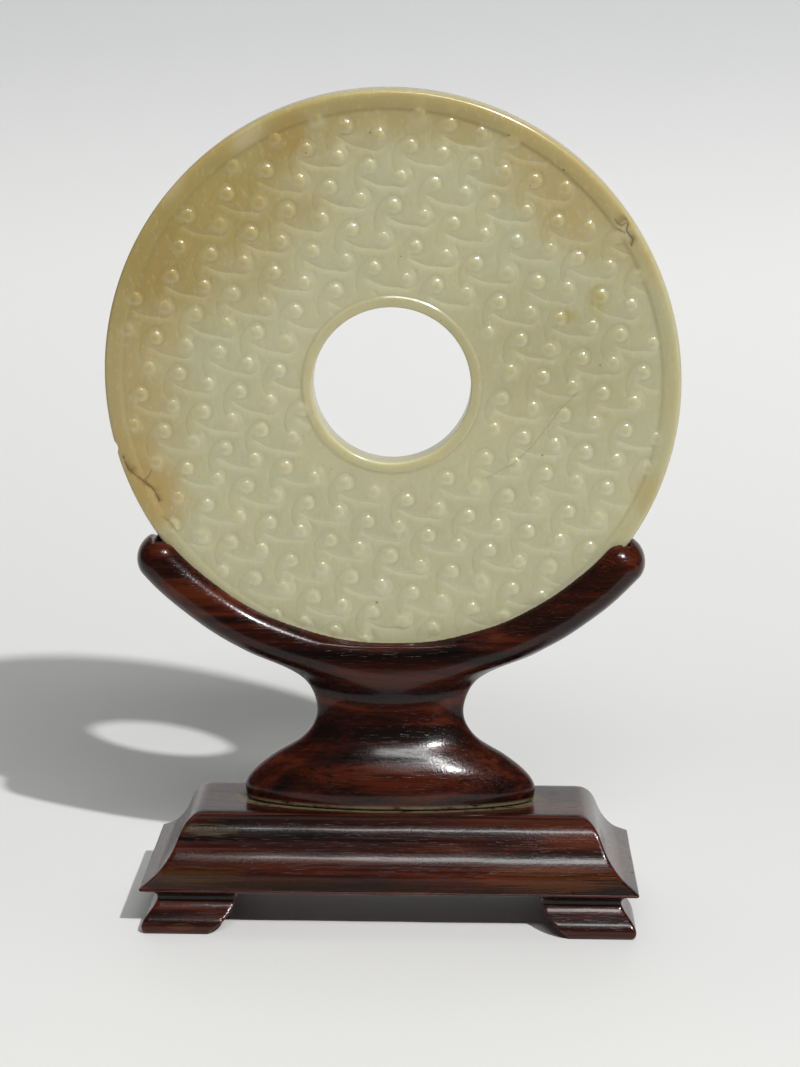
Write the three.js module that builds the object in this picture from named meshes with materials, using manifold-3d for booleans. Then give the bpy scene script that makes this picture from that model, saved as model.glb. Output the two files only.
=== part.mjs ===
// Jade bi disc standing in a carved rosewood cradle on a rosewood plinth.
// Millimetres, +Z up, front of the disc toward -Y, floor at Z = 0.
import * as THREE from 'three';
import { mergeVertices } from 'three/addons/utils/BufferGeometryUtils.js';
import Module from 'manifold-3d';

const wasm = await Module();
wasm.setup();

// ---- disc
const DISC_RADIUS = 60;
const DISC_THICKNESS = 6.2;
const DISC_CENTRE_Z = 115;
const DISC_CENTRE_Y = -3.3;
const DISC_LEAN = 4.0;            // degrees, top edge toward the front
const DISC_OVALITY = 0.008;       // ground slightly out of round
const DISC_LONG_AXIS = -59;       // degrees from +X, the long diameter
const HOLE_RADIUS = 16.4;
const HOLE_SHIFT_X = -0.15;
const HOLE_SHIFT_Z = -0.6;
const OUTER_BORDER = 4.8;         // plain band along the rim
const INNER_BORDER = 2.6;         // plain band round the hole
const FIELD_SINK = 0.4;           // ground cut below the two bands
const BORDER_BEVEL = 0.5;
const RIM_ROUND = 0.9;
const HOLE_ROUND = 0.6;
const DISC_SEGMENTS = 96;

// ---- cradle
const PIECE_GAP = 0.3;
const CRADLE_SHIFT = -0.4;        // carved a touch off the middle of the plinth
const SLOT_RADIUS = 61;
const SLOT_WIDTH = 8.8;
const SLOT_SEGMENTS = 84;
const ARM_RADIUS = 60.3;          // arm centre line under the disc
const ARM_SPREAD = 1.7;           // centre line moves out toward the tips
const ARM_HALF_HEIGHT = 5.35;
const ARM_HALF_DEPTH = 7.2;
const ARM_SQUARENESS = 2.5;
const ARM_BELLY = 2.6;            // extra depth of wood where the arms meet the neck
const BELLY_SPAN = 20;
const ARM_SPAN = 51.6;            // degrees from the bottom to the tip's centre
const ARM_STATIONS = 30;
const ARM_SIDES = 18;
const TIP_STATIONS = 5;
const STEM_SIDES = 40;

// ---- plinth
const TOP_HALF_LENGTH = 42;
const TOP_HALF_DEPTH = 12.6;
const PLINTH_HEIGHT = 23.6;
const TOP_ROUND = 1.1;
const FLARE_OUT = 10.3;
const FLARE_Z = 10.3;
const EDGE_ROUND = 0.5;
const CEILING_Z = 9.3;
const WAIST_OUT = 6.8;
const WAIST_Z = 7.0;
const TOE_OUT = 9.9;
const TOE_Z = 1.7;
const FRONT_GAP_TOP = 31.2;       // half width of the opening between the feet
const FRONT_GAP_FLOOR = 38;
const SIDE_GAP_TOP = 4.6;
const SIDE_GAP_FLOOR = 9.4;

const WELD = 0.01;                // shortest edge kept after a cut

const rad = THREE.MathUtils.degToRad;
const lerp = THREE.MathUtils.lerp;

// ---- shared helpers
function closedBody(positions, faces) {
  const geometry = new THREE.BufferGeometry();
  geometry.setAttribute('position', new THREE.Float32BufferAttribute(positions.flat(), 3));
  geometry.setIndex(faces.flat());
  return geometry;
}

// Skins rings of equal count, first and last ring closed by a fan round their middle.
function loft(rings) {
  const count = rings[0].length;
  const points = rings.flat();
  const faces = [];
  for (let i = 0; i + 1 < rings.length; i += 1) {
    for (let j = 0; j < count; j += 1) {
      const a = i * count + j;
      const b = i * count + ((j + 1) % count);
      faces.push([a, b, b + count], [a, b + count, a + count]);
    }
  }
  const middle = (ring) => [0, 1, 2].map((k) => ring.reduce((sum, p) => sum + p[k], 0) / count);
  const lastStart = (rings.length - 1) * count;
  const bottom = points.push(middle(rings[0])) - 1;
  const top = points.push(middle(rings[rings.length - 1])) - 1;
  for (let j = 0; j < count; j += 1) {
    const next = (j + 1) % count;
    faces.push([bottom, next, j], [top, lastStart + j, lastStart + next]);
  }
  return closedBody(points, faces);
}

function toSolid(geometry) {
  const bare = geometry.clone();
  bare.deleteAttribute('normal');
  bare.deleteAttribute('uv');
  const merged = mergeVertices(bare, 1e-4);
  return new wasm.Manifold(new wasm.Mesh({
    numProp: 3,
    vertProperties: new Float32Array(merged.attributes.position.array),
    triVerts: new Uint32Array(merged.index.array),
  }));
}

function toGeometry(solid) {
  const mesh = solid.simplify(WELD).getMesh();
  const geometry = new THREE.BufferGeometry();
  geometry.setAttribute('position', new THREE.BufferAttribute(new Float32Array(mesh.vertProperties), 3));
  geometry.setIndex(new THREE.BufferAttribute(new Uint32Array(mesh.triVerts), 1));
  geometry.computeVertexNormals();
  return geometry;
}

function superellipse(angle, halfA, halfB, power) {
  const c = Math.cos(angle);
  const s = Math.sin(angle);
  return [
    halfA * Math.sign(c) * Math.abs(c) ** (2 / power),
    halfB * Math.sign(s) * Math.abs(s) ** (2 / power),
  ];
}

function arcPoints(centreA, centreB, radius, startDeg, endDeg, steps) {
  return Array.from({ length: steps + 1 }, (_, i) => {
    const angle = rad(lerp(startDeg, endDeg, i / steps));
    return [centreA + radius * Math.cos(angle), centreB + radius * Math.sin(angle)];
  });
}

function smoothCurve(points, steps) {
  const knots = points.map(([a, b]) => new THREE.Vector3(a, b, 0));
  const curve = new THREE.CatmullRomCurve3(knots, false, 'centripetal');
  return curve.getPoints(steps).map((p) => [p.x, p.y]);
}

// ---- disc: radius and half thickness round one closed cross-section
function discSection() {
  const half = DISC_THICKNESS / 2;
  const field = half - FIELD_SINK;
  const outerStart = DISC_RADIUS - OUTER_BORDER;
  const innerEnd = HOLE_RADIUS + INNER_BORDER;
  const rimFront = arcPoints(DISC_RADIUS - RIM_ROUND, half - RIM_ROUND, RIM_ROUND, 0, 90, 3);
  const face = [
    [outerStart, half],
    [outerStart - BORDER_BEVEL, field],
    [innerEnd + BORDER_BEVEL, field],
    [innerEnd, half],
  ];
  const holeFront = arcPoints(HOLE_RADIUS + HOLE_ROUND, half - HOLE_ROUND, HOLE_ROUND, 90, 180, 2);
  const front = [...rimFront, ...face, ...holeFront];
  const back = front.slice().reverse().map(([r, t]) => [r, -t]);
  return [...front, ...back];
}

function discPoint(r, t, angle) {
  const outward = (r - HOLE_RADIUS) / (DISC_RADIUS - HOLE_RADIUS);
  const oval = 1 + DISC_OVALITY * outward * Math.cos(2 * (angle - rad(DISC_LONG_AXIS)));
  const x = r * oval * Math.cos(angle) + HOLE_SHIFT_X * (1 - outward);
  const up = r * oval * Math.sin(angle) + HOLE_SHIFT_Z * (1 - outward);
  const lean = rad(DISC_LEAN);
  return [
    x,
    DISC_CENTRE_Y - up * Math.sin(lean) - t * Math.cos(lean),
    DISC_CENTRE_Z + up * Math.cos(lean) - t * Math.sin(lean),
  ];
}

function discGeometry() {
  const section = discSection();
  const count = section.length;
  const points = [];
  const faces = [];
  for (let i = 0; i < DISC_SEGMENTS; i += 1) {
    const angle = (2 * Math.PI * i) / DISC_SEGMENTS;
    section.forEach(([r, t]) => points.push(discPoint(r, t, angle)));
    const here = i * count;
    const next = ((i + 1) % DISC_SEGMENTS) * count;
    for (let j = 0; j < count; j += 1) {
      const k = (j + 1) % count;
      faces.push([here + j, next + k, here + k], [here + j, next + j, next + k]);
    }
  }
  return closedBody(points, faces);
}

// ---- cradle arms: a rounded bar swept under the disc, both ends domed
function armRing(angleDeg, scale, beyond) {
  const share = Math.min(1, Math.abs(angleDeg) / ARM_SPAN);
  const radius = ARM_RADIUS + ARM_SPREAD * share ** 2;
  const angle = rad(angleDeg);
  const out = [Math.sin(angle), -Math.cos(angle)];
  const along = [Math.cos(angle), Math.sin(angle)];
  const belly = ARM_BELLY * Math.cos(rad(90 * Math.min(1, Math.abs(angleDeg) / BELLY_SPAN))) ** 2;
  return Array.from({ length: ARM_SIDES }, (_, i) => {
    const turn = (2 * Math.PI * i) / ARM_SIDES;
    const halfHeight = scale * (ARM_HALF_HEIGHT + (turn < Math.PI ? belly : 0));
    const [depth, height] = superellipse(turn, ARM_HALF_DEPTH * scale, halfHeight, ARM_SQUARENESS);
    return [
      out[0] * (radius + height) + along[0] * beyond,
      -depth,
      DISC_CENTRE_Z + out[1] * (radius + height) + along[1] * beyond,
    ];
  });
}

function tipRings(sideSign) {
  return Array.from({ length: TIP_STATIONS }, (_, i) => {
    const lift = rad((90 * (i + 0.9)) / TIP_STATIONS);
    const scale = Math.max(0.08, Math.cos(lift));
    return armRing(sideSign * ARM_SPAN, scale, sideSign * ARM_HALF_HEIGHT * Math.sin(lift));
  });
}

function armsGeometry() {
  const middle = Array.from({ length: ARM_STATIONS + 1 }, (_, i) => (
    armRing(lerp(-ARM_SPAN, ARM_SPAN, i / ARM_STATIONS), 1, 0)
  ));
  return loft([...tipRings(-1).reverse(), ...middle, ...tipRings(1)]);
}

// ---- cradle stem: oval cross-sections, waisted neck over a spreading foot
function stemGeometry() {
  const bottom = PLINTH_HEIGHT + PIECE_GAP;
  const sideLine = smoothCurve([
    [bottom, 31], [27, 31.2], [30, 29.2], [33.4, 25], [37.2, 19],
    [41.4, 16.1], [45.7, 16.1], [50, 18.5], [53.6, 24], [56, 30.2], [58.4, 34],
  ], 24);
  const depthLine = smoothCurve([
    [bottom, 9.9], [27, 10.2], [31, 9.6], [34.5, 8], [38, 6.2],
    [42, 5.2], [46.5, 4.8], [50, 5.2], [54, 5.8], [58.4, 6],
  ], 60);
  const depthAt = (z) => {
    const i = Math.max(1, depthLine.findIndex((p) => p[0] >= z));
    const [z0, d0] = depthLine[i - 1];
    const [z1, d1] = depthLine[i];
    return lerp(d0, d1, (z - z0) / (z1 - z0));
  };
  const rings = sideLine.map(([z, halfWidth]) => (
    Array.from({ length: STEM_SIDES }, (_, i) => {
      const turn = (2 * Math.PI * i) / STEM_SIDES;
      const [x, y] = superellipse(turn, halfWidth, depthAt(z), 2);
      return [x, y, z];
    })
  ));
  return loft(rings);
}

function slotGeometry() {
  const slot = new THREE.CylinderGeometry(SLOT_RADIUS, SLOT_RADIUS, SLOT_WIDTH, SLOT_SEGMENTS);
  return slot.translate(0, 0, DISC_CENTRE_Z);
}

function cradleGeometry() {
  const body = toSolid(armsGeometry()).add(toSolid(stemGeometry()));
  return toGeometry(body.subtract(toSolid(slotGeometry()))).translate(CRADLE_SHIFT, 0, 0);
}

// ---- plinth: outset from the top edge against height, the same on all four sides
function plinthProfile() {
  const crown = arcPoints(-TOP_ROUND, PLINTH_HEIGHT - TOP_ROUND, TOP_ROUND, 90, 0, 4);
  const flareTop = [0, PLINTH_HEIGHT - TOP_ROUND];
  const flare = smoothCurve([
    flareTop,
    [FLARE_OUT * 0.28, lerp(flareTop[1], FLARE_Z, 0.46)],
    [FLARE_OUT * 0.58, lerp(flareTop[1], FLARE_Z, 0.78)],
    [FLARE_OUT, FLARE_Z],
  ], 9);
  const edge = arcPoints(FLARE_OUT - EDGE_ROUND, CEILING_Z + EDGE_ROUND, EDGE_ROUND, 0, -90, 3);
  const foot = smoothCurve([
    [FLARE_OUT - 1.6, CEILING_Z - 0.2], [WAIST_OUT + 0.5, WAIST_Z + 1.1], [WAIST_OUT, WAIST_Z],
    [WAIST_OUT + 0.7, WAIST_Z - 1.5], [TOE_OUT - 0.6, TOE_Z + 1.5], [TOE_OUT, TOE_Z],
    [TOE_OUT - 0.25, 0.45], [TOE_OUT - 1, 0],
  ], 16);
  return [...crown, ...flare.slice(1), ...edge, ...foot].reverse();
}

function mouldedBlock() {
  const rings = plinthProfile().map(([out, z]) => {
    const x = TOP_HALF_LENGTH + out;
    const y = TOP_HALF_DEPTH + out;
    return [[x, y, z], [-x, y, z], [-x, -y, z], [x, -y, z]];
  });
  return loft(rings);
}

// Opening between two feet, wider at the floor, cut right through the block.
function gapPrism(halfTop, halfFloor, length) {
  const side = smoothCurve([
    [halfTop, CEILING_Z], [lerp(halfTop, halfFloor, 0.3), CEILING_Z * 0.45], [halfFloor, 0],
    [halfFloor + 1.4, -1],
  ], 8);
  const mirrored = side.slice().reverse().map(([a, z]) => [-a, z]);
  const outline = new THREE.Shape([...side, ...mirrored].map(([a, z]) => new THREE.Vector2(a, z)));
  const prism = new THREE.ExtrudeGeometry(outline, { depth: length, bevelEnabled: false });
  return prism.translate(0, 0, -length / 2).rotateX(Math.PI / 2);
}

function plinthGeometry() {
  const reach = 3 * TOP_HALF_LENGTH;
  const frontGap = gapPrism(FRONT_GAP_TOP, FRONT_GAP_FLOOR, reach);
  const sideGap = gapPrism(SIDE_GAP_TOP, SIDE_GAP_FLOOR, reach).rotateZ(Math.PI / 2);
  const body = toSolid(mouldedBlock()).subtract(toSolid(frontGap)).subtract(toSolid(sideGap));
  return toGeometry(body);
}

function piece(name, geometry, colour, roughness) {
  const material = new THREE.MeshStandardMaterial({ color: colour, roughness, metalness: 0 });
  const mesh = new THREE.Mesh(geometry, material);
  mesh.name = name;
  return mesh;
}

const slab = discGeometry();
slab.computeVertexNormals();

const object = new THREE.Group();
object.name = 'bi_disc_on_stand';
object.add(piece('bi_disc', slab, 0xaaa67e, 0.3));
object.add(piece('cradle', cradleGeometry(), 0x3a1610, 0.35));
object.add(piece('plinth', plinthGeometry(), 0x43180f, 0.38));

export default object;
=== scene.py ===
# Looks of a jade bi disc standing in a carved rosewood cradle on a rosewood plinth.
# Everything is worked out in millimetres, and turned into metres when a mesh or a place is handed over.
import math

import bpy
import numpy as np
from mathutils import Matrix, Vector
from mathutils.geometry import delaunay_2d_cdt
from mathutils.kdtree import KDTree


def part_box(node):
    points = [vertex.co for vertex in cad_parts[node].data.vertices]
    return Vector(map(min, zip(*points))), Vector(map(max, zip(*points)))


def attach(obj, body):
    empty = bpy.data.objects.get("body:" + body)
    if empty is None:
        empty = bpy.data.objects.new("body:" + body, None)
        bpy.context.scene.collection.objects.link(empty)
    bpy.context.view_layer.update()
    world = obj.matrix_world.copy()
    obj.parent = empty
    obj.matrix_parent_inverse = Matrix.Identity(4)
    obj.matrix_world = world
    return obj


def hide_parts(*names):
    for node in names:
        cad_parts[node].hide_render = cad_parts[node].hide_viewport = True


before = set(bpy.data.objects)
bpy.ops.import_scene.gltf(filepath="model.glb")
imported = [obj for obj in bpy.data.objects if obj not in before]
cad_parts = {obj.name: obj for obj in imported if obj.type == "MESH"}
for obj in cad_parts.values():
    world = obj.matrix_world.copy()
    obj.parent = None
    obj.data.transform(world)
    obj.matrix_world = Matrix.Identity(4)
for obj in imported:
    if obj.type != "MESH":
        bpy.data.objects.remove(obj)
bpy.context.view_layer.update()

MM = 0.001
rng = np.random.default_rng(31)

# ---- disc
DISC_RADIUS = 59.98
DISC_THICKNESS = 6.2
DISC_CENTRE = (0.0, -3.3, 115.0)
DISC_LEAN = math.radians(4.0)
DISC_OVALITY = 0.008
DISC_LONG_AXIS = math.radians(-59)
HOLE_RADIUS = 16.4
HOLE_SHIFT = (-0.15, -0.6)
RIM_ROUND = 0.85
HOLE_ROUND = 0.45
FIELD_SINK = 0.3
OUTER_BAND = 3.7
INNER_BAND = 2.2
INNER_BEVEL = 0.5
OUTER_BEVEL = 1.1
BAND_LINE = 0.05
RIM_COUNT = 432
HOLE_COUNT = 216

# ---- carved grains: rows turned a little, every second grain drags a long tail
GRAIN_PITCH = 6.58
ROW_PITCH = 6.47
GRAIN_TURN = math.radians(-14.9)
ROW_TURN = math.radians(-106.0)
FIRST_GRAIN = (2.05, -4.05)
GRAIN_RADIUS = 1.42
GRAIN_HEIGHT = 0.4
GRAIN_BULGE = 4.5
GRAIN_SKIRT = 1.35
CURL_RADIUS = 1.85
TAIL_HALF_WIDTH = 3.0
TAIL_HALF_HEIGHT = 4.25
TAIL_DROP = 2.1
LINK_DROP = 2.5
LINK_SAG = 0.5
LINK_CURL = 2.6
# Way on the disc from a grain's middle towards the lamp; the grain's far side is softer and gets painted
# light.
LIT_SIDE_WAY = np.array([0.3, 0.95])
GROOVE_HALF_WIDTH = 0.3
GROOVE_DEPTH = 0.12
TAIL_DEPTH = 0.38
LINK_DEPTH = 0.75
HAND_SHIFT = 0.18
HAND_TURN = 0.05
GRAIN_COUNT = 14                  # rows each way from the first grain, more than the disc holds
GRAIN_TO_INNER_BAND = 0.9
GRAIN_TO_OUTER_BAND = 0.5
FRONT_OVERHANG = 0.6              # front grains may crowd the outer band by this much
# Painted light: a pale ring painted round the foot of each grain's shaded side, and a pale painted
# highlight along the links.
PAINTED_LIGHT_PLACE = 0.8
PAINTED_LIGHT_WIDTH = 0.35
LINK_LIGHT_WIDTH = 0.32
LINK_LIGHT_SHARE = 0.5

# ---- flaws of the stone: where each line runs, half width, darkness and depth
FLAWS = (
    (((-59.4, -14.6), (-56.6, -16.0), (-55.7, -18.9), (-52.7, -21.3), (-50.3, -23.5), (-49.3, -25.6)),
     0.3, 1.0, 0.16),
    (((-52.7, -21.3), (-51.6, -20.8), (-50.9, -19.2)), 0.2, 0.7, 0.08),
    (((-48.6, -29.2), (-46.9, -30.4), (-45.8, -32.4)), 0.25, 0.45, 0.05),
    (((47.0, 35.6), (48.3, 34.0), (47.9, 32.2), (49.3, 30.4), (49.0, 29.2)), 0.28, 1.0, 0.14),
    (((45.4, 34.6), (46.8, 33.3), (48.2, 33.9)), 0.22, 0.75, 0.08),
    (((46.1, 32.6), (47.6, 31.8)), 0.22, 0.6, 0.05),
    (((38.2, -1.6), (34.6, -5.4), (31.9, -9.2), (28.8, -13.3), (25.2, -16.6), (19.8, -19.6)),
     0.2, 0.28, 0.05),
)
FLAW_RAGGEDNESS = 0.05
# Dark specks: place on the disc and half width.
SPECKS = (
    (23.5, 51.3, 0.3), (34.8, 44.5, 0.34), (1.8, 26.8, 0.24), (43.0, 4.3, 0.26), (31.3, -14.8, 0.3),
    (-3.2, -47.2, 0.42), (-4.5, 51.4, 0.3), (-17.4, 47.2, 0.28), (10.1, 13.8, 0.3), (28.0, 41.3, 0.22),
    (-22.0, 21.7, 0.2), (-12.6, -17.9, 0.2), (24.2, 45.8, 0.2), (25.5, 47.0, 0.22),
)
CHIP_ANGLE = math.radians(-166.2)
CHIP_DEPTH = 0.55
CHIP_HALF_WIDTH = 0.8
CHIP_START_RADIUS = 56

# ---- how finely the two carved faces are cut into triangles
FRONT_STEP, FRONT_FILL = 0.36, 0.95
BACK_STEP, BACK_FILL = 0.6, 1.5
FILL_ROW_SHARE = 0.866
BAND_OFFSETS = (0.08, -0.16, 0.32, -0.38, -0.6, -0.85)
BAND_SPACE = 0.15
GROOVE_OFFSETS = (0, 0.14, -0.14, 0.3, -0.3)
GROOVE_SPACE = 0.125
GRAIN_RINGS = ((0.42, 6), (0.66, 11), (0.82, 14), (0.98, 17))
FLAW_RING = (0.24, 6)
FLAW_SPACE = 0.12
SPECK_RINGS = (0.05, 0.45, 0.9)
SPECK_SPACE = 0.08
EDGE_CLEARANCE = 0.3

# ---- cradle
CRADLE_SHIFT = -0.4
SLOT_RADIUS = 61.0
SLOT_HALF_WIDTH = 4.4
ARM_RADIUS = 60.3
ARM_SPREAD = 1.7
ARM_HALF_HEIGHT = 5.35
ARM_HALF_DEPTH = 7.2
ARM_SQUARENESS = 2.5
ARM_BELLY = 2.6
BELLY_SPAN = 20.0
ARM_SPAN = 51.6
CRADLE_BASE = 23.9
STEM_TOP = 58.4
# Half width and half depth of the neck and foot, as (height, half size).
STEM_WIDTHS = ((23.9, 31), (27, 31.2), (30, 29.2), (33.4, 25), (37.2, 19), (41.4, 16.1), (45.7, 16.1),
               (50, 18.5), (53.6, 24), (56, 30.2), (58.4, 34))
STEM_DEPTHS = ((23.9, 9.9), (27, 10.2), (31, 9.6), (34.5, 8), (38, 6.2), (42, 5.2), (46.5, 4.8),
               (50, 5.2), (54, 5.8), (58.4, 6))

# ---- plinth
TOP_HALF_LENGTH = 42.0
TOP_HALF_DEPTH = 12.6
PLINTH_HEIGHT = 23.6
CEILING_Z = 9.3
# Mouldings as (height, outset from the top's edge); gaps between the feet as (height, half width).
FLARE_LINE = ((9.2, 10.3), (9.9, 10.3), (10.4, 9.6), (12.1, 7.05), (14, 5.3), (16, 4.0), (18, 3.1),
              (19.5, 2.5), (20.8, 1.85), (21.8, 1.15), (22.6, 0.35), (23.2, -0.55), (23.7, -1.7))
FOOT_LINE = ((0, 9.1), (0.45, 9.65), (1.7, 9.9), (3.2, 9.3), (5.5, 7.5), (7.0, 6.8), (8.1, 7.3),
             (9.1, 8.7), (9.6, 9.2))
FRONT_GAP_LINE = ((-1, 39.4), (0, 38), (4.2, 33.3), (9.3, 31.2), (10, 31.2))
SIDE_GAP_LINE = ((-1, 10.6), (0, 9.4), (4.2, 6.1), (9.3, 4.6), (10, 4.6))

# ---- size of the cells that the wood is skinned in
CRADLE_STEP = 0.38
PLINTH_STEP = 0.42


# ---------------------------------------------------------------- helpers for shapes
def smoothstep(low, high, value):
    share = np.clip((value - low) / (high - low), 0, 1)
    return share * share * (3 - 2 * share)


def smooth_line(knots, count=200):
    """A dense Catmull-Rom line through (height, reach) knots, as two arrays for np.interp."""
    k = np.array(knots, float)
    k = np.vstack([2 * k[0] - k[1], k, 2 * k[-1] - k[-2]])
    share = np.linspace(0, len(knots) - 1, count)
    i = np.minimum(share.astype(int), len(knots) - 2)
    s = (share - i)[:, None]
    a, b, c, d = k[i], k[i + 1], k[i + 2], k[i + 3]
    bend = (2 * a - 5 * b + 4 * c - d) * s**2
    twist = (3 * b - a - 3 * c + d) * s**3
    points = 0.5 * (2 * b + (c - a) * s + bend + twist)
    return points[:, 0], points[:, 1]


def meet_round(a, b, radius):
    """Where two solids overlap, with the edge between them rounded off."""
    corner = np.hypot(np.maximum(a + radius, 0), np.maximum(b + radius, 0))
    return np.minimum(np.maximum(a, b), -radius) + corner


def join_round(a, b, radius):
    """Two solids together, with a fillet in the inside corner."""
    return -meet_round(-a, -b, radius)


def waves(x, y, z, length, seed):
    """A gentle unevenness between about -1 and 1, as a hand tool leaves it."""
    draw = np.random.default_rng(seed)
    total = 0
    for _ in range(5):
        way = draw.normal(size=3)
        way /= np.linalg.norm(way)
        turn = 2 * math.pi / (length * draw.uniform(0.7, 1.4))
        total = total + np.sin((x * way[0] + y * way[1] + z * way[2]) * turn + draw.uniform(0, 6.3))
    return total / 3


def mesh_piece(name, points, faces):
    """A smooth-shaded mesh from millimetre points."""
    mesh = bpy.data.meshes.new(name)
    mesh.from_pydata((np.asarray(points) * MM).tolist(), [], [tuple(f) for f in faces])
    mesh.validate()
    mesh.update()
    mesh.polygons.foreach_set("use_smooth", np.ones(len(mesh.polygons), bool))
    piece = bpy.data.objects.new(name, mesh)
    bpy.context.scene.collection.objects.link(piece)
    return piece


def put_mark(piece, name, share):
    """Stores a number from 0 to 1 on each point of a piece, for its finish to read."""
    piece.data.attributes.new(name, "FLOAT", "POINT").data.foreach_set("value", share.astype(np.float32))


def skin(field, low, high, step):
    """The closed surface where field(x, y, z) is 0: one point in each cell it crosses, drawn onto it."""
    axes = [np.arange(low[k] - 1.5 * step, high[k] + 2 * step, step) for k in range(3)]
    values = field(*np.meshgrid(*axes, indexing="ij"))
    inside = values < 0
    nx, ny, nz = (n - 1 for n in values.shape)
    corners = sum(
        inside[i:i + nx, j:j + ny, k:k + nz].astype(np.int8)
        for i in (0, 1) for j in (0, 1) for k in (0, 1)
    )
    crossed = (corners > 0) & (corners < 8)
    number = np.full(crossed.shape, -1)
    number[crossed] = np.arange(crossed.sum())
    cells = np.argwhere(crossed)
    points = np.stack([axes[k][cells[:, k]] + step / 2 for k in range(3)], 1)
    for _ in range(6):
        points = points + np.clip(pull(field, points), -0.45 * step, 0.45 * step)
    return points, skin_faces(inside, number)


def pull(field, points):
    """The step that takes each point to the surface of a field."""
    small = 0.02
    x, y, z = points.T
    here = field(x, y, z)
    slope = np.stack([
        field(x + small, y, z) - field(x - small, y, z),
        field(x, y + small, z) - field(x, y - small, z),
        field(x, y, z + small) - field(x, y, z - small),
    ], 1) / (2 * small)
    steep = np.maximum((slope**2).sum(1), 0.05)
    return -slope * (here / steep)[:, None]


def skin_faces(inside, number):
    """One four-sided face for each grid edge that goes from inside to outside."""
    faces = []
    for axis in range(3):
        u, v = (axis + 1) % 3, (axis + 2) % 3
        a = np.moveaxis(inside, (axis, u, v), (0, 1, 2))
        n = np.moveaxis(number, (axis, u, v), (0, 1, 2))
        start, end = a[:-1, 1:-1, 1:-1], a[1:, 1:-1, 1:-1]
        quad = np.stack([n[:, :-1, :-1], n[:, 1:, :-1], n[:, 1:, 1:], n[:, :-1, 1:]], -1)
        faces.append(quad[start & ~end])
        faces.append(quad[~start & end][:, ::-1])
    return np.vstack(faces)


# ---------------------------------------------------------------- disc
def grain_places(overhang):
    """Centres of the carved grains on the field, with whether each drags a long tail."""
    along = GRAIN_PITCH * np.array([math.cos(GRAIN_TURN), math.sin(GRAIN_TURN)])
    down = ROW_PITCH * np.array([math.cos(ROW_TURN), math.sin(ROW_TURN)])
    nearest = HOLE_RADIUS + INNER_BAND + GRAIN_TO_INNER_BAND
    furthest = DISC_RADIUS - OUTER_BAND - GRAIN_TO_OUTER_BAND + overhang
    places = []
    for i in range(-GRAIN_COUNT, GRAIN_COUNT + 1):
        for j in range(-GRAIN_COUNT, GRAIN_COUNT + 1):
            place = np.array(FIRST_GRAIN) + i * along + j * down
            wander = rng.normal(0, HAND_SHIFT, 2)
            if nearest < np.hypot(*place) < furthest:
                places.append((place + wander, (i + j) % 2 == 0))
    return places


def turned(u, v, angle):
    across = u * math.cos(angle) - v * math.sin(angle)
    up = u * math.sin(angle) + v * math.cos(angle)
    return np.stack([across, up], -1)


def tail_curve(size):
    """From under the grain round its right side, over the top, and down the left to the next row."""
    curl = np.radians(np.linspace(-95, 70, 26))
    radius = np.linspace(0.9, 1.08, 26) * CURL_RADIUS
    sweep = np.radians(np.linspace(6, 142, 40))
    u = np.concatenate([radius * np.cos(curl), 0.1 - TAIL_HALF_WIDTH * np.sin(sweep)])
    v = np.concatenate([radius * np.sin(curl), TAIL_HALF_HEIGHT * np.cos(sweep) - TAIL_DROP])
    return size * u, size * v


def link_curve(size):
    """From under one grain across to its right neighbour, and up round that one's far side."""
    run = np.linspace(0, 1, 24)
    curl = np.radians(np.linspace(-108, 50, 28))
    radius = LINK_CURL * np.linspace(1, 0.78, 28)
    curl_u = GRAIN_PITCH + radius * np.cos(curl)
    curl_v = radius * np.sin(curl)
    reach_u = -0.3 + (curl_u[0] + 0.3) * run
    reach_v = -LINK_DROP + (curl_v[0] + LINK_DROP) * run - LINK_SAG * np.sin(np.pi * run)
    return size * np.concatenate([reach_u, curl_u]), size * np.concatenate([reach_v, curl_v])


def even_steps(line, step):
    """The same line with points an even step apart."""
    gaps = np.hypot(*np.diff(line, axis=0).T)
    travelled = np.concatenate([[0], np.cumsum(gaps)])
    count = max(2, int(round(travelled[-1] / step)) + 1)
    wanted = np.linspace(0, travelled[-1], count)
    return np.stack([np.interp(wanted, travelled, line[:, k]) for k in (0, 1)], 1)


def carved_lines(places):
    """Every groove of the field as (points, depth share, whether it is a tail)."""
    lines = []
    for centre, tailed in places:
        if not tailed:
            continue
        for curve, depth in ((tail_curve, TAIL_DEPTH), (link_curve, LINK_DEPTH)):
            u, v = curve(rng.uniform(0.95, 1.05))
            line = centre + turned(u, v, GRAIN_TURN + rng.normal(0, HAND_TURN))
            lines.append((line, depth * rng.uniform(0.75, 1.3), curve is tail_curve))
    return lines


def nearest_distance(points, marks):
    """Distance from each point to the nearest of the marks, and which mark that is."""
    tree = KDTree(len(marks))
    for i, (x, y) in enumerate(marks):
        tree.insert((x, y, 0), i)
    tree.balance()
    found = [tree.find((x, y, 0)) for x, y in points]
    return np.array([f[2] for f in found]), np.array([f[1] for f in found])


INNER_FOOT = HOLE_RADIUS + INNER_BAND + INNER_BEVEL / 2
OUTER_FOOT = DISC_RADIUS - OUTER_BAND - OUTER_BEVEL / 2


def band_profile(radius):
    """Height of the two plain bands over the field, with a fine line at the foot of each."""
    inner = 1 - smoothstep(INNER_FOOT - INNER_BEVEL, INNER_FOOT, radius)
    outer = smoothstep(OUTER_FOOT, OUTER_FOOT + OUTER_BEVEL, radius)
    height = -FIELD_SINK + FIELD_SINK * np.maximum(inner, outer)
    for foot in (INNER_FOOT + 0.08, OUTER_FOOT - 0.08):
        height = height - BAND_LINE * np.exp(-(((radius - foot) / 0.2) ** 2))
    return height


def field_share(radius):
    """1 on the field, falling to 0 on the bands."""
    inside = smoothstep(INNER_FOOT - 0.3, INNER_FOOT + 0.3, radius)
    return inside * smoothstep(OUTER_FOOT + 0.3, OUTER_FOOT - 0.3, radius)


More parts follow.
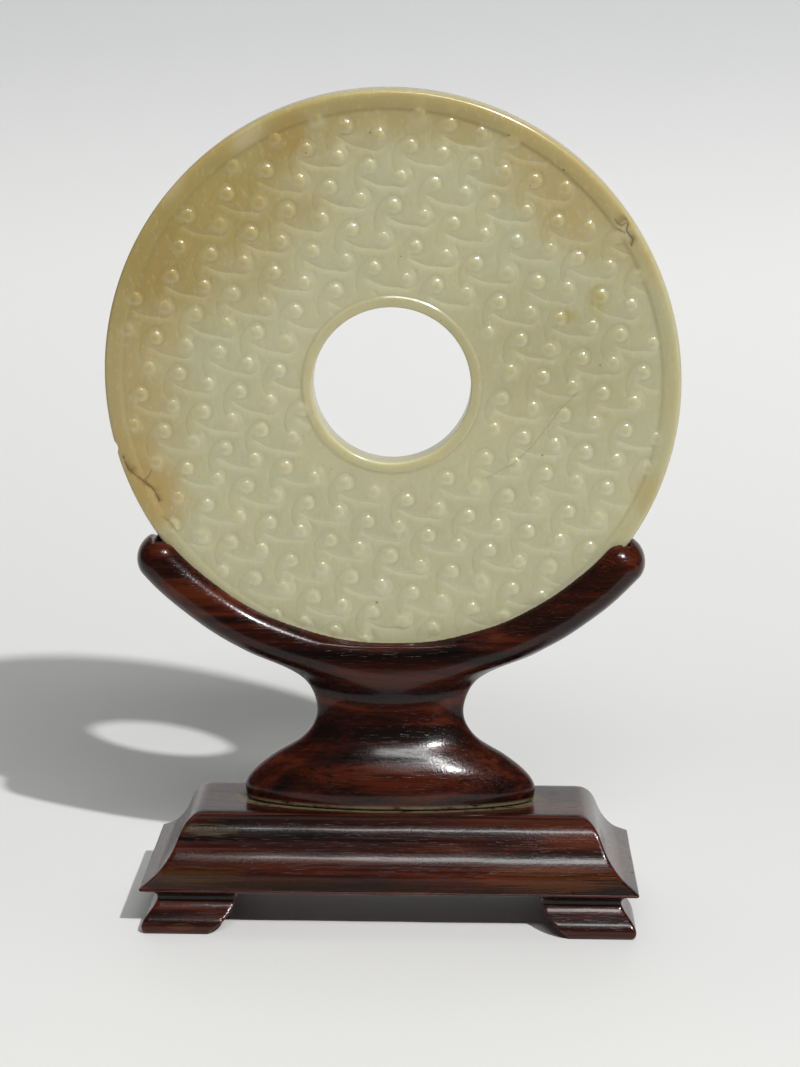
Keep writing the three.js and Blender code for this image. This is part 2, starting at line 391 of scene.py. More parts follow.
def spread(candidates):
    """Keeps points in order of importance, none nearer to an earlier one than its own spacing."""
    cell = 0.5
    kept, spots = [], {}
    for x, y, space in candidates:
        gx, gy = int(x // cell), int(y // cell)
        if not crowded(spots, gx, gy, int(space // cell) + 1, (x, y, space)):
            spots.setdefault((gx, gy), []).append((x, y))
            kept.append((x, y))
    return np.array(kept)


def crowded(spots, gx, gy, reach, candidate):
    x, y, space = candidate
    for i in range(gx - reach, gx + reach + 1):
        for j in range(gy - reach, gy + reach + 1):
            for px, py in spots.get((i, j), ()):
                if (px - x) ** 2 + (py - y) ** 2 < space * space:
                    return True
    return False


def ring_points(radius, count):
    angle = 2 * math.pi * np.arange(count) / count
    return np.stack([radius * np.cos(angle), radius * np.sin(angle)], 1)


def with_space(points, space):
    return np.column_stack([points, np.full(len(points), space)])


def flaw_lines():
    """The cracks and veins of the stone, a little ragged, as (points, half width, darkness, depth)."""
    draw = np.random.default_rng(77)
    made = []
    for knots, half_width, dark, depth in FLAWS:
        line = even_steps(np.array(knots), 0.4)
        ragged = line + draw.normal(0, FLAW_RAGGEDNESS, line.shape)
        made.append((even_steps(ragged, 0.18), half_width * draw.uniform(0.8, 1.2), dark, depth))
    return made


def stains(points):
    """How dark each point is stained, and how far the cracks sink it."""
    stain, sunk = np.zeros(len(points)), np.zeros(len(points))
    for line, half_width, dark, depth in flaw_lines():
        away, which = nearest_distance(points, line)
        width = half_width * (0.85 + 0.2 * np.sin(which * 0.23))
        share = np.clip(1.2 - away / width, 0, 1)
        stain = np.maximum(stain, 0.75 * dark * share)
        sunk = np.maximum(sunk, depth * share)
    for x, y, size in SPECKS:
        away = np.hypot(points[:, 0] - x, points[:, 1] - y)
        stain = np.maximum(stain, 0.9 * np.clip(1.2 - away / (0.7 * size), 0, 1))
    return stain, sunk


def face_points(places, lines, step, fill):
    """Where the points of one face of the disc go: dense on what is carved, sparse between."""
    sets = [
        with_space(ring_points(DISC_RADIUS - RIM_ROUND, RIM_COUNT), 0.0),
        with_space(ring_points(HOLE_RADIUS + HOLE_ROUND, HOLE_COUNT), 0.0),
    ]
    first = len(sets[0]) + len(sets[1])
    if lines:
        sets += flaw_points()
    sets += band_points(step)
    for line, _, _ in lines:
        middle = even_steps(line, step)
        way = np.gradient(middle, axis=0)
        side = np.stack([-way[:, 1], way[:, 0]], 1) / np.hypot(*way.T)[:, None]
        sets += [with_space(middle + offset * side, GROOVE_SPACE) for offset in GROOVE_OFFSETS]
    for centre, _ in places:
        sets.append(with_space(centre[None], step * 0.6))
        sets += [with_space(centre + ring_points(GRAIN_RADIUS * share, count), step * 0.6)
                 for share, count in GRAIN_RINGS]
    sets.append(fill_points(fill))
    everything = np.vstack(sets)
    radius = np.hypot(everything[:, 0], everything[:, 1])
    past_hole = radius > HOLE_RADIUS + HOLE_ROUND + EDGE_CLEARANCE
    kept = past_hole & (radius < DISC_RADIUS - RIM_ROUND - EDGE_CLEARANCE)
    kept[:first] = True
    return spread(everything[kept])


def flaw_points():
    """Points along the cracks and on the specks."""
    lines = [line for line, _, _, _ in flaw_lines()]
    sets = [with_space(line, FLAW_SPACE) for line in lines]
    sets += [with_space(line + way, FLAW_SPACE) for line in lines for way in ring_points(*FLAW_RING)]
    sets += [with_space(np.array([[x, y]]) + ring_points(size * share, 8), SPECK_SPACE)
             for x, y, size in SPECKS for share in SPECK_RINGS]
    return sets


def band_points(step):
    """Rings of points on the slopes at the foot of the two bands."""
    inner_count = int(2 * math.pi * INNER_FOOT / (step * 1.5))
    outer_count = int(2 * math.pi * OUTER_FOOT / (step * 2))
    sets = []
    for offset in BAND_OFFSETS:
        sets.append(with_space(ring_points(INNER_FOOT + offset, inner_count), BAND_SPACE))
        sets.append(with_space(ring_points(OUTER_FOOT - offset, outer_count), BAND_SPACE))
    return sets


def fill_points(fill):
    """Staggered rows of points over the whole face."""
    reach = np.arange(-DISC_RADIUS, DISC_RADIUS, fill)
    rows = np.stack(np.meshgrid(reach, reach * FILL_ROW_SHARE), -1).reshape(-1, 2)
    rows[:, 0] += (np.round(rows[:, 1] / (fill * FILL_ROW_SHARE)) % 2) * fill / 2
    return with_space(rows, fill * 0.72)


def face_height(points, places, lines):
    """Height of one carved face over its plain bands, and the marks its finish reads."""
    radius = np.hypot(points[:, 0], points[:, 1])
    dome, glow = grain_domes(points, places)
    height = np.maximum(band_profile(radius), -FIELD_SINK + dome)
    # glow is painted light on the grains' shaded feet and along the links; the groove and band marks
    # carry painted shade.
    marks = {
        "glow": glow,
        "band": 1 - field_share(radius),
        "groove": np.zeros(len(points)),
        "stain": np.zeros(len(points)),
    }
    if lines:
        cut, marks["groove"], link_light = groove_cuts(points, lines)
        marks["glow"] = np.clip(glow + LINK_LIGHT_SHARE * link_light, 0, 1)
        marks["stain"], sunk = stains(points)
        height = height - GROOVE_DEPTH * cut - sunk * smoothstep(0.9, 1.4, DISC_RADIUS - radius)
    uneven = 0.03 * waves(points[:, 0], points[:, 1], 0, length=9, seed=5)
    return height + uneven * smoothstep(1, 3, DISC_RADIUS - radius), marks


def grain_domes(points, places):
    """Height of the grains, steep at the top and soft below, and the painted light round the foot of
    their shaded side.
    """
    centres = np.array([centre for centre, _ in places])
    away, which = nearest_distance(points, centres)
    tall = 1 + 0.12 * np.sin(which * 2.4)
    wide = GRAIN_RADIUS * (1 + 0.05 * np.sin(which * 1.7))
    share = away / wide
    below = 0.5 + 0.5 * (centres[which] - points) @ LIT_SIDE_WAY / np.maximum(away, 0.1)
    steep = np.clip(1 - share**GRAIN_BULGE, 0, 1)
    soft = np.clip(1 - (share / GRAIN_SKIRT) ** 2, 0, 1) ** 2
    dome = steep + (soft - steep) * smoothstep(0.3, 0.8, below)
    return GRAIN_HEIGHT * tall * dome, np.exp(-(((share - PAINTED_LIGHT_PLACE) / PAINTED_LIGHT_WIDTH) ** 2)) * below


def groove_cuts(points, lines):
    """How deep the grooves cut, the tails' share of that for painted shade, and the painted light along
    the links.
    """
    line_points = [even_steps(line, 0.12) for line, _, _ in lines]
    counts = [len(made) for made in line_points]
    depth = np.repeat([line[1] for line in lines], counts)
    is_tail = np.repeat([float(line[2]) for line in lines], counts)
    away, which = nearest_distance(points, np.vstack(line_points))
    on_field = field_share(np.hypot(points[:, 0], points[:, 1]))
    cut = np.clip(1 - (away / GROOVE_HALF_WIDTH) ** 2, 0, 1) ** 1.5 * depth[which] * on_field
    link_light = np.exp(-((away / LINK_LIGHT_WIDTH) ** 2)) * (1 - is_tail[which]) * on_field
    return cut, cut * is_tail[which], link_light


def disc_place(points, height):
    """Millimetre places in the frame, from places on the flat disc and distance before its middle."""
    radius = np.hypot(points[:, 0], points[:, 1])
    angle = np.arctan2(points[:, 1], points[:, 0])
    outward = (radius - HOLE_RADIUS) / (DISC_RADIUS - HOLE_RADIUS)
    chip = CHIP_DEPTH * np.exp(-(((angle - CHIP_ANGLE) * DISC_RADIUS / CHIP_HALF_WIDTH) ** 2))
    chipped = chip * smoothstep(CHIP_START_RADIUS, 60, radius) / DISC_RADIUS
    oval = 1 + DISC_OVALITY * outward * np.cos(2 * (angle - DISC_LONG_AXIS)) - chipped
    x = points[:, 0] * oval + HOLE_SHIFT[0] * (1 - outward)
    up = points[:, 1] * oval + HOLE_SHIFT[1] * (1 - outward)
    return np.stack([
        DISC_CENTRE[0] + x,
        DISC_CENTRE[1] - up * math.sin(DISC_LEAN) - height * math.cos(DISC_LEAN),
        DISC_CENTRE[2] + up * math.cos(DISC_LEAN) - height * math.sin(DISC_LEAN),
    ], 1)


def face_triangles(points):
    """Triangles over one face of the disc, none across the hole."""
    made = delaunay_2d_cdt([Vector(p) for p in points], [], [], 0, 1e-7)
    order = [origin[0] for origin in made[3]]
    triangles = np.array([[order[k] for k in t] for t in made[2]])
    on_hole = (triangles >= RIM_COUNT) & (triangles < RIM_COUNT + HOLE_COUNT)
    return triangles[~on_hole.all(1)]


def band_rings(start_radius, outward, count):
    """Rings of points from the front edge over a rounded rim, or hole wall, to the back edge."""
    half = DISC_THICKNESS / 2
    curve = RIM_ROUND if outward > 0 else HOLE_ROUND
    turns = np.radians([18, 36, 54, 72, 90])
    front = [(start_radius + outward * curve * math.sin(t), half - curve + curve * math.cos(t))
             for t in turns]
    middle = [(front[-1][0], h) for h in np.linspace(half - curve, curve - half, 5)[1:-1]]
    back = [(r, -h) for r, h in reversed(front)]
    return [(ring_points(r, count), h) for r, h in front + middle + back]


def disc_piece():
    places = grain_places(FRONT_OVERHANG)
    lines = carved_lines(places)
    front = face_points(places, lines, FRONT_STEP, FRONT_FILL)
    back_places = grain_places(0)
    back = face_points(back_places, [], BACK_STEP, BACK_FILL)
    front_height, front_marks = face_height(front, places, lines)
    back_height, back_marks = face_height(back, back_places, [])
    half = DISC_THICKNESS / 2
    points = [disc_place(front, half + front_height), disc_place(back, -half - back_height)]
    faces = [face_triangles(front), face_triangles(back)[:, ::-1] + len(front)]
    carved = len(front) + len(back)
    total = carved
    for start, count, radius, outward in (
        (0, RIM_COUNT, DISC_RADIUS - RIM_ROUND, 1),
        (RIM_COUNT, HOLE_COUNT, HOLE_RADIUS + HOLE_ROUND, -1),
    ):
        rings = band_rings(radius, outward, count)
        points += [disc_place(ring, np.full(count, height)) for ring, height in rings]
        faces += wall_faces(start, count, total, len(rings), len(front), outward)
        total += count * len(rings)
    face_list = [tuple(map(int, face)) for part in faces for face in part]
    piece = mesh_piece("jade_disc", np.vstack(points), face_list)
    for name in front_marks:
        # The rim and hole walls take the band's painted shade in full.
        edge_mark = np.full(total - carved, 1.0 if name == "band" else 0.0)
        put_mark(piece, name, np.concatenate([front_marks[name], back_marks[name], edge_mark]))
    return piece


def wall_faces(start, count, total, ring_count, front_count, outward):
    """Four-sided faces from the front face's edge, over a wall's rings, to the back face's edge."""
    edge = np.arange(start, start + count)
    loops = [edge]
    loops += [np.arange(count) + total + count * k for k in range(ring_count)]
    loops.append(edge + front_count)
    faces = []
    for a, b in zip(loops, loops[1:]):
        quads = np.stack([a, b, np.roll(b, -1), np.roll(a, -1)], 1)
        faces.append(quads if outward > 0 else quads[:, ::-1])
    return faces


# ---------------------------------------------------------------- cradle and plinth
STEM_WIDTH_LINE = smooth_line(STEM_WIDTHS)
STEM_DEPTH_LINE = smooth_line(STEM_DEPTHS)
FLARE_CURVE = smooth_line(FLARE_LINE)
FOOT_CURVE = smooth_line(FOOT_LINE)
FRONT_GAP_CURVE = smooth_line(FRONT_GAP_LINE)
SIDE_GAP_CURVE = smooth_line(SIDE_GAP_LINE)


def arms_field(x, y, z):
    down = DISC_CENTRE[2] - z
    radius = np.hypot(x, down)
    angle = np.degrees(np.abs(np.arctan2(x, down)))
    share = np.minimum(angle / ARM_SPAN, 1)
    belly = ARM_BELLY * np.cos(np.radians(90 * np.minimum(1, angle / BELLY_SPAN))) ** 2
    rise = radius - ARM_RADIUS - ARM_SPREAD * share**2
    half = ARM_HALF_HEIGHT + np.where(rise > 0, belly, 0)
    section = np.abs(y / ARM_HALF_DEPTH) ** ARM_SQUARENESS + np.abs(rise / half) ** ARM_SQUARENESS
    section = section ** (1 / ARM_SQUARENESS)
    beyond = np.radians(np.maximum(0, angle - ARM_SPAN)) * radius
    return (np.hypot(section, beyond / ARM_HALF_HEIGHT) - 1) * ARM_HALF_HEIGHT


def stem_field(x, y, z):
    width = np.interp(z, *STEM_WIDTH_LINE)
    depth = np.interp(z, *STEM_DEPTH_LINE)
    q = np.hypot(x / width, y / depth) + 1e-6
    slope = np.hypot(x / width**2, y / depth**2) / q + 1e-6
    side = (q - 1) / slope
    return np.maximum(meet_round(side, CRADLE_BASE - z, 0.15), z - STEM_TOP)


def cradle_field(x, y, z):
    x = x - CRADLE_SHIFT
    body = join_round(arms_field(x, y, z), stem_field(x, y, z), 1.5)
    slot = meet_round(np.hypot(x, z - DISC_CENTRE[2]) - SLOT_RADIUS, np.abs(y) - SLOT_HALF_WIDTH, 0.5)
    uneven = 0.1 + 0.08 * waves(x, y, z, length=14, seed=8)
    body = body + uneven * smoothstep(0, 1.5, z - CRADLE_BASE)
    return meet_round(body, -slot, 0.55)


def moulded_rect(x, y, z, curve, edge):
    """Distance outside a rectangle whose outset follows a moulding, its mitres a little rounded."""
    out = np.interp(z, *curve)
    rise = (np.interp(z + 0.1, *curve) - np.interp(z - 0.1, *curve)) / 0.2
    lean = np.sqrt(1 + rise**2)
    long_side = (np.abs(x) - TOP_HALF_LENGTH - out) / lean
    short_side = (np.abs(y) - TOP_HALF_DEPTH - out) / lean
    return meet_round(long_side, short_side, edge)


def gap_field(across, z, curve):
    half = np.interp(z, *curve)
    return meet_round(np.abs(across) - half, z - CEILING_Z, 1.2)


def plinth_field(x, y, z):
    upper = moulded_rect(x, y, z, FLARE_CURVE, 0.55)
    upper = meet_round(upper, z - PLINTH_HEIGHT, 0.4)
    upper = meet_round(upper, CEILING_Z - z, 0.5)
    foot = meet_round(moulded_rect(x, y, z, FOOT_CURVE, 0.5), -z, 0.3)
    foot = np.maximum(foot, z - CEILING_Z - 0.4)
    foot = meet_round(foot, -gap_field(x, z, FRONT_GAP_CURVE), 0.5)
    foot = meet_round(foot, -gap_field(y, z, SIDE_GAP_CURVE), 0.5)
    body = join_round(upper, foot, 0.25)
    uneven = (0.06 + 0.05 * waves(x, y, z, length=18, seed=12)) * smoothstep(0.1, 2.5, z)
    return body + uneven


def carved_piece(name, field, node, step):
    low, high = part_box(node)
    points, faces = skin(field, [v / MM for v in low], [v / MM for v in high], step)
    points = np.clip(points, np.array(low) / MM, np.array(high) / MM)
    piece = mesh_piece(name, points, faces)
    bend = curvature(field, points)
    put_mark(piece, "edge", np.clip(bend / 1.2, 0, 1))
    # The crease mark carries painted shade into inside corners.
    put_mark(piece, "crease", np.clip(-bend / 0.9, 0, 1))
    return piece


def curvature(field, points, reach=0.45):
    """Positive on edges and negative in inside corners, a millimetre scale."""
    x, y, z = points.T
    around = (field(x + reach, y, z) + field(x - reach, y, z) + field(x, y + reach, z)
              + field(x, y - reach, z) + field(x, y, z + reach) + field(x, y, z - reach))
    return (around - 6 * field(x, y, z)) / reach**2


# ---------------------------------------------------------------- shader maths
class Wire:
    """An output socket of a material, so that maths on a surface reads as plain sums."""

    def __init__(self, finish, socket):
        self.finish = finish
        self.socket = socket

    def maths(self, operation, *values):
        sockets = dict(enumerate(values))
        return self.finish.add("ShaderNodeMath", {"operation": operation}, sockets)

    def __add__(self, other):
        return self.maths("ADD", self, other)

    __radd__ = __add__

    def __sub__(self, other):
        return self.maths("SUBTRACT", self, other)

    def __rsub__(self, other):
        return self.maths("SUBTRACT", other, self)

    def __mul__(self, other):
        return self.maths("MULTIPLY", self, other)

    __rmul__ = __mul__

    def __truediv__(self, other):
        return self.maths("DIVIDE", self, other)

    def __pow__(self, other):
        return self.maths("POWER", self, other)


class Finish:
    """A material in the making."""

    def __init__(self, name):
        self.material = bpy.data.materials.new(name)
        self.material.use_nodes = True
        self.nodes = self.material.node_tree.nodes
        self.links = self.material.node_tree.links
        self.nodes.clear()
        coords = self.add("ShaderNodeTexCoord", out="Object")
        to_mm = {0: coords, 1: (1 / MM,) * 3}
        self.mm = self.add("ShaderNodeVectorMath", {"operation": "MULTIPLY"}, to_mm)

    def add(self, kind, settings=None, sockets=None, out=0):
        """Adds one node: its settings first, then the value or link of each socket."""
        node = self.nodes.new(kind)
        for name, value in (settings or {}).items():
            if name == "stops":
                self.set_stops(node.color_ramp.elements, value)
            else:
                setattr(node, name, value)
        for name, value in (sockets or {}).items():
            if isinstance(value, Wire):
                self.links.new(value.socket, node.inputs[name])
            else:
                node.inputs[name].default_value = value
        return Wire(self, node.outputs[out]) if len(node.outputs) else None

    @staticmethod
    def set_stops(elements, stops):
        while len(elements) < len(stops):
            elements.new(1.0)
        for element, (place, colour) in zip(elements, stops):
            element.position = place
            element.color = (*colour, 1)

    def axis(self, name):
        return self.add("ShaderNodeSeparateXYZ", None, {0: self.mm}, name)

    def stretched(self, scale, shift=(0, 0, 0)):
        moved = self.add("ShaderNodeVectorMath", {"operation": "ADD"}, {0: self.mm, 1: shift})
        return self.add("ShaderNodeVectorMath", {"operation": "MULTIPLY"}, {0: moved, 1: scale})

    def noise(self, scale, detail=2.0, rough=0.5, warp=0.0, shift=(0, 0, 0)):
        """Noise with so many waves a millimetre along each axis."""
        sockets = {"Vector": self.stretched(scale, shift), "Scale": 1.0, "Detail": detail,
                   "Roughness": rough, "Distortion": warp}
        return self.add("ShaderNodeTexNoise", {"noise_dimensions": "3D"}, sockets)

    def ease(self, value, low, high, start=0.0, end=1.0):
        sockets = {"Value": value, "From Min": low, "From Max": high, "To Min": start, "To Max": end}
        return self.add("ShaderNodeMapRange", {"interpolation_type": "SMOOTHSTEP"}, sockets)

    def blend(self, a, b, share):
        settings = {"data_type": "RGBA", "blend_type": "MIX"}
        return self.add("ShaderNodeMix", settings, {0: share, 6: self.colour(a), 7: self.colour(b)}, 2)

    @staticmethod
    def colour(value):
        return value if isinstance(value, Wire) else (*value, 1)

    def mark(self, name):
        return self.add("ShaderNodeAttribute", {"attribute_name": name}, out="Fac")

    def bump(self, height, distance):
        sockets = {"Height": height, "Distance": distance * MM, "Strength": 1.0}
        return self.add("ShaderNodeBump", None, sockets)

    def surface(self, sockets):
        shader = self.add("ShaderNodeBsdfPrincipled", {"subsurface_method": "RANDOM_WALK"}, sockets)
        self.add("ShaderNodeOutputMaterial", None, {"Surface": shader})
        return self.material


def srgb(red, green, blue):
    """A colour as paint charts give it, 0 to 255, turned into light."""
    shares = [c / 255 for c in (red, green, blue)]
    return tuple(c / 12.92 if c <= 0.04045 else ((c + 0.055) / 1.055) ** 2.4 for c in shares)


# ---------------------------------------------------------------- finishes
def cloud(finish, x, up, centre, half, turn, soft, wobble):
    """A soft-edged patch of colour in the stone."""
    angle = math.radians(turn)
    dx, dy = x - centre[0], up - centre[1]
    u = (dx * math.cos(angle) + dy * math.sin(angle)) / half[0]
    v = (dy * math.cos(angle) - dx * math.sin(angle)) / half[1]
    reach = (u * u + v * v) ** 0.5 + wobble
    return finish.ease(reach, 1 - soft, 1 + soft, 1.0, 0.0)


# Colour patches of the stone: colour, share, then place, half sizes, turn and softness on the disc.
PATCHES = (
    ((176, 170, 134), 0.8, (34, 6), (18, 14), -20, 0.7),
    ((182, 179, 150), 0.8, (4, -40), (36, 14), 0, 0.7),
    ((193, 188, 155), 0.7, (-12, 2), (12, 20), 20, 0.7),
    ((172, 158, 110), 0.9, (6, 56), (36, 7), 0, 0.7),
    ((176, 160, 110), 0.9, (36, 42), (21, 11), -45, 0.7),
    ((175, 160, 114), 0.95, (-56, 2), (30, 12), 88, 0.8),
    ((169, 152, 98), 1.0, (-38, 38), (27, 17), 48, 0.7),
    ((160, 139, 82), 0.7, (-50, 24), (12, 7), 55, 0.7),
    ((166, 140, 80), 0.6, (-21, 50), (6, 3.5), 60, 0.7),
    ((176, 152, 98), 0.9, (-52, -22), (11, 6), -55, 0.7),
    ((176, 160, 112), 0.5, (53.5, -24), (2.6, 4.6), 0, 0.7),
    ((170, 157, 88), 0.6, (42, 17), (1.6, 2.8), 0, 0.7),
    ((170, 157, 88), 0.5, (36, 14), (2.4, 1.4), 0, 0.7),
    ((200, 190, 160), 0.6, (-29.5, 50), (3.6, 1.7), 40, 0.7),
    ((190, 180, 146), 0.4, (-44.5, 40), (3.2, 1.7), 60, 0.7),
)
STONE_LIFT = 0.99
STONE = (188, 183, 148)
STONE_COOL = (184, 182, 151)


def stone_colour(colour):
    return tuple(min(1, c * STONE_LIFT) for c in srgb(*colour))


def jade_finish():
    f = Finish("celadon_jade")
    x = f.axis("X")
    up = f.axis("Z") - DISC_CENTRE[2]
    tone = f.ease(f.noise((0.07, 0.07, 0.07), 3, 0.55), 0.35, 0.65)
    wobble = (f.noise((0.12, 0.12, 0.12), 3, 0.55, shift=(7, 3, 5)) - 0.5) * 1.1
    stone = f.blend(stone_colour(STONE), stone_colour(STONE_COOL), tone)
    for colour, share, place, half, turn, soft in PATCHES:
        mask = cloud(f, x, up, place, half, turn, soft, wobble)
        stone = f.blend(stone, stone_colour(colour), mask * share)
    fibre = f.noise((1.3, 1.3, 0.6), 3, 0.6, 0.3, (1, 9, 2))
    stone = f.blend(stone, srgb(166, 156, 108), f.ease(fibre, 0.56, 0.72) * 0.22)
    stone = f.blend(stone, srgb(204, 202, 176), f.ease(fibre, 0.46, 0.3) * 0.2)
    # Painted shade in the tail grooves.
    stone = f.blend(stone, srgb(112, 104, 62), f.mark("groove") * 0.14)
    # Painted light on the grains' shaded feet and along the links.
    stone = f.blend(stone, srgb(236, 232, 208), f.mark("glow") * 0.2)
    # Painted shade on the plain bands and on the rim and hole walls.
    stone = f.blend(stone, srgb(150, 138, 92), f.mark("band") * 0.2)
    stone = f.blend(stone, srgb(88, 60, 28), f.mark("stain"))
    fine = f.noise((2.5, 2.5, 2.5), 2, 0.5)
    return f.surface({
        "Base Color": stone,
        "Roughness": f.ease(fine, 0.3, 0.7, 0.15, 0.22),
        "IOR": 1.6,
        "Subsurface Weight": 1.0,
        "Subsurface Radius": (1.0, 0.9, 0.6),
        "Subsurface Scale": 5 * MM,
        "Normal": f.bump(fine, 0.012),
    })


def rosewood_finish(name, shift, wear_and_shade, dusty):
    """Dark oiled rosewood: grain along X, pores, edges lightened by wear, painted shade in inside
    corners, and patches and dust where the caller says; the cradle's patches include painted shade.
    """
    f = Finish(name)
    streak = f.noise((0.016, 0.2, 0.2), 4, 0.55, 0.6, shift)
    fine = f.noise((0.05, 1.5, 1.5), 4, 0.6, 0.2, shift)
    figure = streak * 0.78 + fine * 0.22
    wood = f.add("ShaderNodeValToRGB", {"stops": [
        (0.36, srgb(8, 4, 3)),
        (0.45, srgb(27, 8, 4)),
        (0.53, srgb(44, 13, 6)),
        (0.64, srgb(72, 29, 11)),
    ]}, {"Fac": figure})
    pores = f.noise((0.25, 3.4, 3.4), 2, 0.5, 0.1, shift)
    pore = f.ease(pores, 0.6, 0.7)
    wood = f.blend(wood, srgb(8, 4, 3), pore * 0.65)
    # Painted shade in inside corners.
    wood = f.blend(wood, srgb(6, 4, 3), f.mark("crease") * 0.75)
    edge = f.mark("edge")
    wood = f.blend(wood, srgb(84, 34, 20), edge * f.ease(fine, 0.35, 0.6) * 0.45)
    for patch in wear_and_shade:
        wood = f.blend(wood, srgb(*patch[0]), wear_and_shade_patch(f, patch, fine))
    dust = dusty(f) * f.ease(f.noise((0.35, 0.9, 0.9), 3, 0.6, shift=(5, 5, 5)), 0.3, 0.5)
    wood = f.blend(wood, srgb(112, 101, 76), dust * 0.75)
    tick = f.noise((2.3, 1.5, 1.5), 2, 0.5, shift=shift)
    rough = f.ease(fine, 0.3, 0.7, 0.17, 0.27) + pore * 0.2 + dust * 0.3
    return f.surface({
        "Base Color": wood,
        "Roughness": rough,
        "IOR": 1.5,
        "Specular IOR Level": 0.2,
        "Coat Weight": 0.22,
        "Coat Roughness": 0.1,
        "Normal": f.bump(pore * -0.5 + fine * 0.4 + tick, 0.03),
    })


def wear_and_shade_patch(f, patch, fine):
    """How much of a streaky place of wear or dark colour, or a band of painted shade, shows on the front
    of the wood.
    """
    _, share, (cx, cz), (hx, hz) = patch
    u = (f.axis("X") - cx) / hx
    w = (f.axis("Z") - cz) / hz
    reach = (u * u + w * w) ** 0.5 + (fine - 0.5) * 2.2
    wear_and_shade_mask = f.ease(reach, 1.1, 0.85) * f.ease(fine, 0.36, 0.5)
    return wear_and_shade_mask * share * f.ease(f.axis("Y"), -1, -3)


def foot_dust(f):
    """Dust along the bottom edge of the cradle."""
    return f.ease(f.axis("Z"), CRADLE_BASE + 1.1, CRADLE_BASE + 0.3)


def ledge_dust(f):
    """Dust on the plinth round the cradle's foot."""
    u = (f.axis("X") - CRADLE_SHIFT) / STEM_WIDTHS[0][1]
    v = f.axis("Y") / STEM_DEPTHS[0][1]
    near_foot = f.ease((u * u + v * v) ** 0.5, 1.12, 1.04)
    return near_foot * f.ease(f.axis("Z"), PLINTH_HEIGHT - 0.8, PLINTH_HEIGHT - 0.4)


# Rubbed and dark places of the wood, and on the cradle a band of painted shade under the arms: colour,
# share, centre and half sizes along X and Z.
PLINTH_WEAR = (
    ((72, 60, 40), 0.5, (-38.5, 20.4), (6.5, 1.3)),
    ((62, 44, 18), 0.4, (-40.5, 12.2), (10, 1.6)),
    ((84, 44, 18), 0.5, (34, 12.5), (16, 2.2)),
    ((80, 52, 28), 0.3, (-43.5, 1.6), (3, 0.8)),
)
CRADLE_WEAR_AND_SHADE = (
    ((70, 26, 10), 0.5, (2, 31), (22, 2.6)),
    ((14, 6, 4), 0.75, (36, 70), (17, 11)),
    ((60, 25, 11), 0.5, (4, 51), (26, 1.5)),
    ((9, 5, 4), 0.9, (0, 39.3), (34, 1.9)),
    # Painted shade where the undersides of the arms meet the neck.
    ((10, 5, 4), 0.8, (4, 47.4), (22, 1.0)),
    ((10, 5, 4), 0.6, (22, 35), (10, 1.6)),
)


CARD = (0.8, 0.8, 0.79)
# Painted shade: the card is painted greyer up the sweep of the backdrop.
CARD_PAINTED_SHADE = (0.58, 0.59, 0.59)
PAINTED_SHADE_HEIGHTS = (80, 215)             # heights between which the sweep of the backdrop turns greyer


def floor_finish():
    f = Finish("pale_card_painted_shade")
    # Painted shade greying the card towards the top of the sweep.
    card_and_shade = f.blend(CARD, CARD_PAINTED_SHADE, f.ease(f.axis("Z"), *PAINTED_SHADE_HEIGHTS))
    return f.surface({"Base Color": card_and_shade, "Roughness": 0.6})


# ---------------------------------------------------------------- the pieces
def dress(piece, material, node):
    piece.data.materials.append(material)
    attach(piece, "root")
    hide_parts(node)


disc = disc_piece()
dress(disc, jade_finish(), "bi_disc")
cradle = carved_piece("rosewood_cradle", cradle_field, "cradle", CRADLE_STEP)
cradle_wood = rosewood_finish("cradle_rosewood", (13, 4, 9), CRADLE_WEAR_AND_SHADE, foot_dust)
dress(cradle, cradle_wood, "cradle")
plinth = carved_piece("rosewood_plinth", plinth_field, "plinth", PLINTH_STEP)
plinth_wood = rosewood_finish("plinth_rosewood", (71, 40, 22), PLINTH_WEAR, ledge_dust)
dress(plinth, plinth_wood, "plinth")


# ---------------------------------------------------------------- floor, light and camera
FLOOR_FRONT = -125
FLOOR_BACK = 130
SWEEP_RADIUS = 550
SWEEP_TOP = 560
FLOOR_HALF_WIDTH = 900


def backdrop():
    """A floor that sweeps up behind the object."""
    turns = np.radians(np.linspace(0, 90, 33))
    line = [(FLOOR_FRONT, 0)]
    line += [(FLOOR_BACK + SWEEP_RADIUS * math.sin(t), SWEEP_RADIUS * (1 - math.cos(t)))
             for t in turns]
    line.append((FLOOR_BACK + SWEEP_RADIUS, SWEEP_TOP))
    points = [(side * FLOOR_HALF_WIDTH, y, z) for y, z in line for side in (-1, 1)]
    faces = [(2 * i, 2 * i + 1, 2 * i + 3, 2 * i + 2) for i in range(len(line) - 1)]
    floor = mesh_piece("backdrop", points, faces)
    floor.data.materials.append(floor_finish())
    return floor


backdrop()

KEY = {"way": (0.351, -0.707, 0.614), "distance": 2.2, "size": (0.058, 0.058), "power": 47}
STRIP = {"way": (0.129, -0.732, 0.669), "distance": 1.6, "size": (0.8, 0.2), "power": 7.5}
OVERHEAD = {"way": (-0.15, 0.25, 0.95), "distance": 1.6, "size": (1.4, 1.4), "power": 3.2}
ROOM_STRENGTH = 0.07


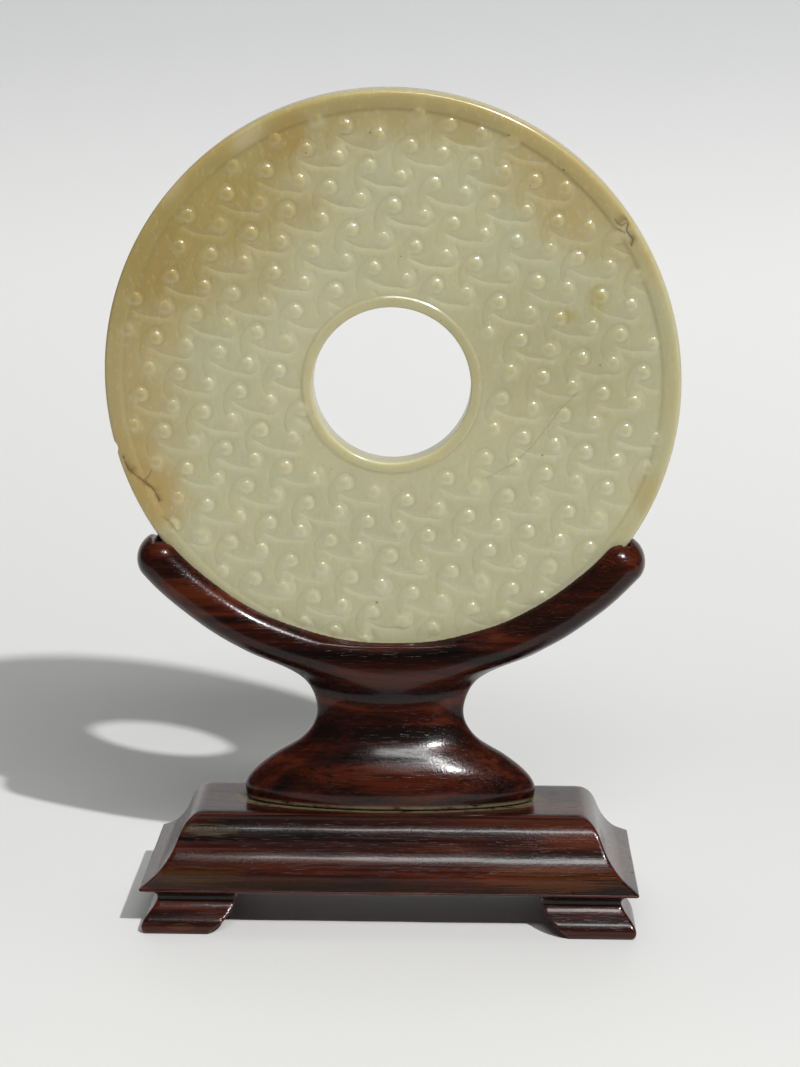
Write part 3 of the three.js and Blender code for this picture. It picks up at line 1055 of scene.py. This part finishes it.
def lamp(name, way, distance, size, power):
    """A soft oval light that looks at the middle of the disc."""
    light = bpy.data.lights.new(name, "AREA")
    light.shape = "ELLIPSE"
    light.size, light.size_y = size
    light.energy = power
    way = Vector(way).normalized()
    holder = bpy.data.objects.new(name, light)
    holder.location = Vector(DISC_CENTRE) * MM + way * distance
    holder.rotation_mode = "QUATERNION"
    holder.rotation_quaternion = way.to_track_quat("Z", "Y")
    bpy.context.scene.collection.objects.link(holder)


def room_light():
    world = bpy.data.worlds.new("room")
    world.use_nodes = True
    world.node_tree.nodes["Background"].inputs["Color"].default_value = (1, 0.99, 0.97, 1)
    world.node_tree.nodes["Background"].inputs["Strength"].default_value = ROOM_STRENGTH
    bpy.context.scene.world = world


CAMERA_PLACE = (16.03, -541.19, 189.06)
CAMERA_PITCH = 0.19553
CAMERA_YAW = -0.02677
CAMERA_ROLL = 0.00398
CAMERA_LENS = 87.97


def camera():
    lens = bpy.data.cameras.new("camera")
    lens.lens = CAMERA_LENS
    lens.sensor_width = 36
    lens.clip_start = 0.01
    lens.clip_end = 20
    viewer = bpy.data.objects.new("camera", lens)
    flat = math.cos(CAMERA_PITCH)
    down = -math.sin(CAMERA_PITCH)
    ahead = Vector((math.sin(CAMERA_YAW) * flat, math.cos(CAMERA_YAW) * flat, down))
    right = Vector((math.cos(CAMERA_YAW), -math.sin(CAMERA_YAW), 0))
    above = right.cross(ahead)
    side = right * math.cos(CAMERA_ROLL) + above * math.sin(CAMERA_ROLL)
    top = above * math.cos(CAMERA_ROLL) - right * math.sin(CAMERA_ROLL)
    turn = Matrix((side, top, -ahead)).transposed().to_4x4()
    viewer.matrix_world = Matrix.Translation(Vector(CAMERA_PLACE) * MM) @ turn
    bpy.context.scene.collection.objects.link(viewer)
    bpy.context.scene.camera = viewer


lamp("key", **KEY)
lamp("strip", **STRIP)
lamp("overhead", **OVERHEAD)
room_light()
camera()
bpy.context.scene.view_settings.view_transform = "Standard"

bpy.context.view_layer.update()
for piece in (disc, cradle, plinth):
    print(piece.name, sum(len(p.vertices) - 2 for p in piece.data.polygons), "triangles")
